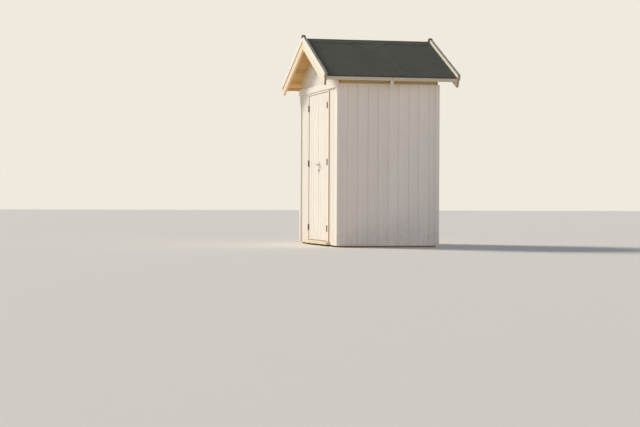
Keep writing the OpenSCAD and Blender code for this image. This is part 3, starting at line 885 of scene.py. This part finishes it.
class HUT_OT_wall_trims(Operator):
    """Ease and paint the corner trims, head board, casings and threshold"""

    bl_idname = "hut.wall_trims"
    bl_label = "Wall trims"

    # Radius of the threshold's worn edges
    trodden_edge = 0.005

    def execute(self, context):
        for step, node in enumerate(("corner_trims", "head_board", "casing_head")):
            eased_timber(node, "eased", ("white",), 101 + step)
        for side, node in ((1, "right_casing"), (-1, "left_casing")):
            # Both side edges of each casing are bare softwood, darkened as painted shade beside
            # the casing
            eased_timber(node, "eased", ("white", "stained"), 105 + side, FINE_EDGE,
                         lambda face: 1 if abs(face.normal.x) > 0.9 else 0)
        eased_timber("threshold", "worn", ("cream",), 111, self.trodden_edge)
        return {"FINISHED"}


class HUT_OT_framing(Operator):
    """Ease the studs, plates, rafters and collar tie, and paint the rafter tails"""

    bl_idname = "hut.framing"
    bl_label = "Framing"

    def execute(self, context):
        plain = ("corner_posts", "door_posts", "door_header", "wall_rails", "wall_plates",
                 "collar_tie", "eaves_blocking")
        for step, node in enumerate(plain):
            finish = "aged" if node == "wall_plates" else "timber"
            eased_timber(node, "eased", (finish,), 121 + step, FINE_EDGE)

        def tail(face):
            return 1 if abs(face.calc_center_median().x) > DECK_HIGH.x - 0.002 else 0

        for step, node in enumerate(("left_rafters", "right_rafters")):
            eased_timber(node, "eased", ("timber", "white"), 131 + step, FINE_EDGE, tail)
        return {"FINISHED"}


class HUT_OT_floor(Operator):
    """Lay the floor boards on their bearers"""

    bl_idname = "hut.floor"
    bl_label = "Floor"

    def execute(self, context):
        boards = settings()[0]
        low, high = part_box("floor_deck")
        board_node("floor_deck", joints_between(low.y, high.y, boards.floor_cover, low.y),
                   high.z - low.z, (low.x, high.x), lambda u, d, l: (l, u, high.z - d), 141,
                   (boards.inner_groove, boards.inner_groove), boards.inner_groove,
                   ("timber", "timber"), name="floor_boards")
        eased_timber("floor_bearers", "eased", ("timber",), 142)
        return {"FINISHED"}


class HUT_OT_ironwork(Operator):
    """Give the hinges, bolts, lock and lever their metal"""

    bl_idname = "hut.ironwork"
    bl_label = "Ironwork"

    # Radius of a screw's head, how far it stands proud, and its number of sides
    screw = (0.0036, 0.0011, 14)

    def execute(self, context):
        for finish, nodes in (
                ("iron", ("frame_hinges", "left_door_hinges", "right_door_hinges",
                          "left_door_bolts", "lock_case")),
                ("plate", ("lock_plate",)), ("steel", ("door_lever",))):
            for node in nodes:
                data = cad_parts[node].data
                data.materials.clear()
                data.materials.append(Palette.get(finish))
        bm = bmesh.new()
        for z in (PLATE_LOW.z + 0.010, PLATE_HIGH.z - 0.010):
            add_nail(bm, (LOCK_X, DOOR_LOW.y - PLATE_T, z), (0, -1, 0), *self.screw)
        finish_piece("lock_plate_screws", bm, ("plate",), "right_leaf")
        self.add_key_ring()
        bm = bmesh.new()
        for x in (CASE_LOW.x + 0.008, CASE_HIGH.x - 0.008):
            for z in (CASE_LOW.z + 0.01, CASE_HIGH.z - 0.01):
                add_nail(bm, (x, CASE_HIGH.y, z), (0, 1, 0), *self.screw)
        finish_piece("lock_case_screws", bm, ("iron",), "right_leaf")
        return {"FINISHED"}

    def add_key_ring(self):
        """Adds the ring round the keyhole, turned with an eased front edge"""
        slot_w, slot_l = KEY_SLOT
        hole = math.hypot(slot_w / 2, slot_l) * 0.72
        profile = ((hole, 0.0), (RING_R, 0.0), (RING_R, RING_RISE * 0.7),
                   (RING_R * 0.86, RING_RISE), (hole * 1.08, RING_RISE), (hole, RING_RISE * 0.9))
        sides = 32
        bm = bmesh.new()
        rings = []
        for i in range(sides):
            turn = math.tau * i / sides
            rings.append([bm.verts.new((LOCK_X + radius * math.cos(turn),
                                        DOOR_LOW.y - PLATE_T - rise,
                                        KEY_Z + radius * math.sin(turn)))
                          for radius, rise in profile])
        for near, far in zip(rings, rings[1:] + rings[:1]):
            bridge(bm, near, far)
        finish_piece("keyhole_ring", bm, ("iron",), "right_leaf")


class HUT_OT_nails(Operator):
    """Drive the nails: painted heads in the boards and trims, zinc clouts in the felt"""

    bl_idname = "hut.nails"
    bl_label = "Nails"

    # Radius of a painted head and of a clout's head, and how far each stands proud
    painted, clout = (0.0034, 0.0006), (0.005, 0.001)
    # The spacing along a line of nails, and how far a nail strays from its place
    spacing, stray = 0.4, 0.003
    # The wall boards' nails: distance from the joints, and levels at the floor, the middle
    # rail and the plate
    inset, levels = 0.030, (0.085, 1.024, 1.972)

    def execute(self, context):
        self.drive("board_nails", self.in_boards(random.Random(151)))
        self.drive("trim_nails", self.in_trims(random.Random(152)))
        self.drive("barge_nails", self.in_barges(random.Random(153)))
        for side, node, body in DOORS:
            self.drive(f"{node}_nails", self.in_door(random.Random(155 + side), side), body)
        self.drive("felt_clouts", self.in_felt(random.Random(157)), "hut", "zinc", self.clout)
        return {"FINISHED"}

    def drive(self, name, spots, body="hut", finish="white", size=painted):
        """Makes a piece of nails, each with its place and the way it faces"""
        bm = bmesh.new()
        for place, normal in spots:
            add_nail(bm, place, normal, *size)
        finish_piece(name, bm, (finish,), body)

    def line(self, draw, start, end, normal, across=(0, 0, 0), offsets=(0.0,), inset=0.05):
        """Nails evenly from start to end, at each offset across the line"""
        start, across = Vector(start), Vector(across)
        whole = Vector(end) - start
        way = whole.normalized()
        count = max(1, round((whole.length - 2 * inset) / self.spacing))
        pitch = (whole.length - 2 * inset) / count
        for i in range(count + 1):
            for offset in offsets:
                along = inset + i * pitch + draw.uniform(-self.stray, self.stray)
                yield start + way * along + across * offset, normal

    def in_boards(self, draw):
        """Two nails in each wall board at every level; the side walls' narrow strips have none"""
        def spots(low, high, narrowest):
            edges = joints_between(low, high, settings()[0].wall_cover)
            for u0, u1 in zip(edges, edges[1:]):
                if u1 - u0 >= narrowest:
                    for z in self.levels:
                        for u in (u0 + self.inset, u1 - self.inset):
                            yield u, u + draw.uniform(-self.stray, self.stray), z

        for _, u, z in spots(WALL_LOW.y, WALL_HIGH.y, 0.1):
            for side in (1, -1):
                yield (side * FACE_X, u, z), (side, 0, 0)
        for planned, u, z in spots(GABLE_LOW.x, GABLE_HIGH.x, 0.0):
            if abs(planned) < FACE_X - self.inset:
                yield (u, REAR_HIGH.y, z), (0, 1, 0)
            # In front only beside the doorway and clear of the corner trims
            if 0.6 < abs(planned) < FACE_X - 0.055 and z < 1.9:
                yield (u, GABLE_LOW.y, z), (0, -1, 0)

    def in_trims(self, draw):
        """Nails in the corner trims, the head board, the casings and the fascias"""
        low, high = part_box("corner_trims")
        head_low, head_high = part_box("head_board")
        for side in (1, -1):
            # The middles of a corner's two trims
            x, y = side * (high.x - 0.0325), high.y - 0.0265
            for face, top, way in ((low.y, head_low.z, -1), (high.y, high.z, 1)):
                yield from self.line(draw, (x, face, low.z), (x, face, top), (0, way, 0),
                                     (1, 0, 0), (-0.018, 0.018))
            for end in (1, -1):
                yield from self.line(draw, (side * high.x, end * y, low.z),
                                     (side * high.x, end * y, high.z), (side, 0, 0))
        middle = (head_low.z + head_high.z) / 2
        yield from self.line(draw, (head_low.x, head_low.y, middle),
                             (head_high.x, head_low.y, middle), (0, -1, 0), (0, 0, 1),
                             (-0.024, 0.024))
        low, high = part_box("right_casing")
        for side in (1, -1):
            x = side * (low.x + high.x) / 2
            yield from self.line(draw, (x, low.y, low.z), (x, low.y, high.z), (0, -1, 0),
                                 (1, 0, 0), (-0.015, 0.015))
        low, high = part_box("right_fascia")
        for side in (1, -1):
            x, z = side * high.x, low.z + 0.03
            for start, end in ((low.y, -0.01), (0.01, high.y)):
                yield from self.line(draw, (x, start, z), (x, end, z), (side, 0, 0), inset=0.03)

    def in_barges(self, draw):
        """Nails along the bargeboards, below the cover strips, and along the strips"""
        low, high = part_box("front_right_barge")
        # The plane of a row, its drop below the upper edge, and the rows' offsets
        rows = ((-low.y, 0.12, (-0.02, 0.02)),
                (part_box("barge_cover_strips")[1].y, 0.038, (0.0,)))
        for plane, drop, offsets in rows:
            for side in (1, -1):
                for end in (1, -1):
                    start, stop = ((side * x, end * plane, high.z - x * SLOPE - drop)
                                   for x in (0.04, 1.17))
                    yield from self.line(draw, start, stop, (0, end, 0), (0, 0, 1), offsets)

    def in_door(self, draw, side):
        """Two nails in each door board at every ledge"""
        count = settings()[0].door_boards
        width = (DOOR_HIGH.x - DOOR_LOW.x) / count
        low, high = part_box("right_door_ledges")
        for i in range(count):
            for z in (low.z + LEDGE_W / 2, LEDGE_MID, high.z - LEDGE_W / 2):
                for u, rise in ((0.3, 0.02), (0.7, -0.02)):
                    x = DOOR_LOW.x + (i + u) * width + draw.uniform(-0.002, 0.002)
                    if low.x < x < high.x:
                        yield (side * x, DOOR_LOW.y, z + rise), (0, -1, 0)

    def in_felt(self, draw):
        """Clouts along the felt's lap, its eaves and the edges of the ridge strip"""
        roof = settings()[1]
        sine, cosine = math.sin(roof.pitch), math.cos(roof.pitch)
        lap_end = FELT_LOW.y + roof.lap_y
        first, span = FELT_LOW.y + 0.04, FELT_HIGH.y - FELT_LOW.y - 0.08

        def pair(x, y, lift):
            for side in (1, -1):
                yield ((side * (x + sine * lift), y + draw.uniform(-0.004, 0.004),
                        FELT_HIGH.z - x * SLOPE + cosine * lift), (side * sine, 0, cosine))

        for i in range(14):
            yield from pair(0.17 + i * 0.072, lap_end - 0.022, roof.felt_t * HUT_OT_felt.over)
        for i in range(12):
            y = first + span * i / 11
            if not lap_end - roof.lap - 0.04 < y < lap_end:
                yield from pair(FELT_HIGH.x - 0.035, y, 0.0)
        for i in range(14):
            yield from pair(0.108, first + span * i / 13, roof.felt_t + 0.0002)


class HUT_OT_stage(Operator):
    """Set the pale floor, the soft light and the camera"""

    bl_idname = "hut.stage"
    bl_label = "Stage"

    # The camera of the photograph: its place, and its heading, pitch and roll in degrees
    camera_place = (21.602, -5.794, 0.610)
    camera_turn = (166.527, -0.5245, 0.261)
    # Half the floor's width
    reach = 60.0
    # The sun's way, its width in degrees and its colour; the colour of the sky
    sun_way = (1.0, 1.0, -0.97)
    sun_width = 20
    sun_colour = (1.0, 0.95, 0.84)
    sky_colour = (0.75, 0.81, 1.0, 1.0)

    def execute(self, context):
        sizes = context.scene.hut_stage
        self.add_floor()
        self.add_world(context, sizes)
        self.add_sun(sizes)
        self.add_camera(context, sizes)
        context.scene.view_settings.view_transform = "Standard"
        return {"FINISHED"}

    def add_floor(self):
        """Adds a pale floor that sends a little warmer light back on the hut"""
        shade = Shade("pale_floor", {"Roughness": 0.9, "Specular IOR Level": 0.1})
        speck = shade.noise(shade.place(), 3.0, 2.0, 0.5)
        pale = linear(226, 222, 214)
        pale = shade.mix(speck * 0.5, pale, shaded(pale, 0.97))
        shade.surface("Base Color", shade.mix(shade.shown(), linear(225, 205, 173), pale))
        bm = bmesh.new()
        bm.faces.new([bm.verts.new((x * self.reach, y * self.reach, 0.0))
                      for x, y in ((-1, -1), (1, -1), (1, 1), (-1, 1))])
        mesh = mesh_of("floor", bm)
        mesh.materials.append(shade.material)
        floor = put("floor", mesh)

    def add_world(self, context, sizes):
        """Adds a sky that is brightest at the horizon, in front of a plain pale background"""
        world = bpy.data.worlds.new("even_light")
        context.scene.world = world
        world.use_nodes = True
        nodes = Nodes(world.node_tree)
        nodes.tree.nodes.remove(nodes.tree.nodes["Background"])
        height = nodes.upward(nodes.node("ShaderNodeTexCoord"))
        strength = nodes.node("ShaderNodeMapRange", None, {
            "Value": height, "From Min": 0.0, "From Max": 0.55,
            "To Min": sizes.sky, "To Max": sizes.sky * sizes.overhead})
        light = nodes.node("ShaderNodeBackground", None, {
            "Color": self.sky_colour, "Strength": strength})
        pale = nodes.node("ShaderNodeBackground", None, {
            "Color": (*linear(240, 233, 222), 1.0)})
        sky = nodes.node("ShaderNodeMixShader", None, {0: nodes.shown(), 1: light, 2: pale})
        nodes.feed(nodes.tree.nodes["World Output"].inputs["Surface"], sky)

    def add_sun(self, sizes):
        sun = bpy.data.lights.new("soft_sun", "SUN")
        sun.energy = sizes.key
        sun.angle = math.radians(self.sun_width)
        sun.color = self.sun_colour
        lamp = put("soft_sun", sun)
        towards = Vector(self.sun_way).normalized()
        lamp.rotation_euler = towards.to_track_quat("-Z", "Y").to_euler()

    def add_camera(self, context, sizes):
        heading, pitch, roll = (math.radians(turn) for turn in self.camera_turn)
        quarter = math.pi / 2
        turn = (Matrix.Rotation(heading - quarter, 4, "Z")
                @ Matrix.Rotation(quarter + pitch, 4, "X") @ Matrix.Rotation(roll, 4, "Z"))
        data = bpy.data.cameras.new("camera")
        data.sensor_fit = "HORIZONTAL"
        data.sensor_width = 36.0
        data.lens = sizes.lens
        data.clip_end = 300.0
        camera = put("camera", data)
        camera.matrix_world = Matrix.Translation(self.camera_place) @ turn
        context.scene.camera = camera


GROUPS = {"hut_boards": BoardSizes, "hut_roof": RoofSizes, "hut_finishes": Finishes,
          "hut_stage": StageSizes}

OPERATORS = (
    HUT_OT_wall_boards, HUT_OT_doors, HUT_OT_roof_boards, HUT_OT_felt, HUT_OT_roof_trims,
    HUT_OT_wall_trims, HUT_OT_framing, HUT_OT_floor, HUT_OT_ironwork, HUT_OT_nails,
    HUT_OT_stage,
)


class HUT_PT_panel(Panel):
    """The hut's sizes, finishes and steps"""

    bl_label = "Beach Hut"
    bl_idname = "HUT_PT_panel"
    bl_space_type = "VIEW_3D"
    bl_region_type = "UI"
    bl_category = "Beach Hut"

    def draw(self, context):
        for name, group in GROUPS.items():
            for key in group.__annotations__:
                self.layout.prop(getattr(context.scene, name), key)
        for operator in OPERATORS:
            self.layout.operator(operator.bl_idname)


CLASSES = (*GROUPS.values(), *OPERATORS, HUT_PT_panel)


def register():
    for cls in CLASSES:
        bpy.utils.register_class(cls)
    for name, group in GROUPS.items():
        setattr(bpy.types.Scene, name, PointerProperty(type=group))


def unregister():
    for name in GROUPS:
        delattr(bpy.types.Scene, name)
    for cls in reversed(CLASSES):
        bpy.utils.unregister_class(cls)


def main():
    register()
    for operator in OPERATORS:
        group, name = operator.bl_idname.split(".")
        getattr(getattr(bpy.ops, group), name)()


if __name__ == "__main__":
    main()
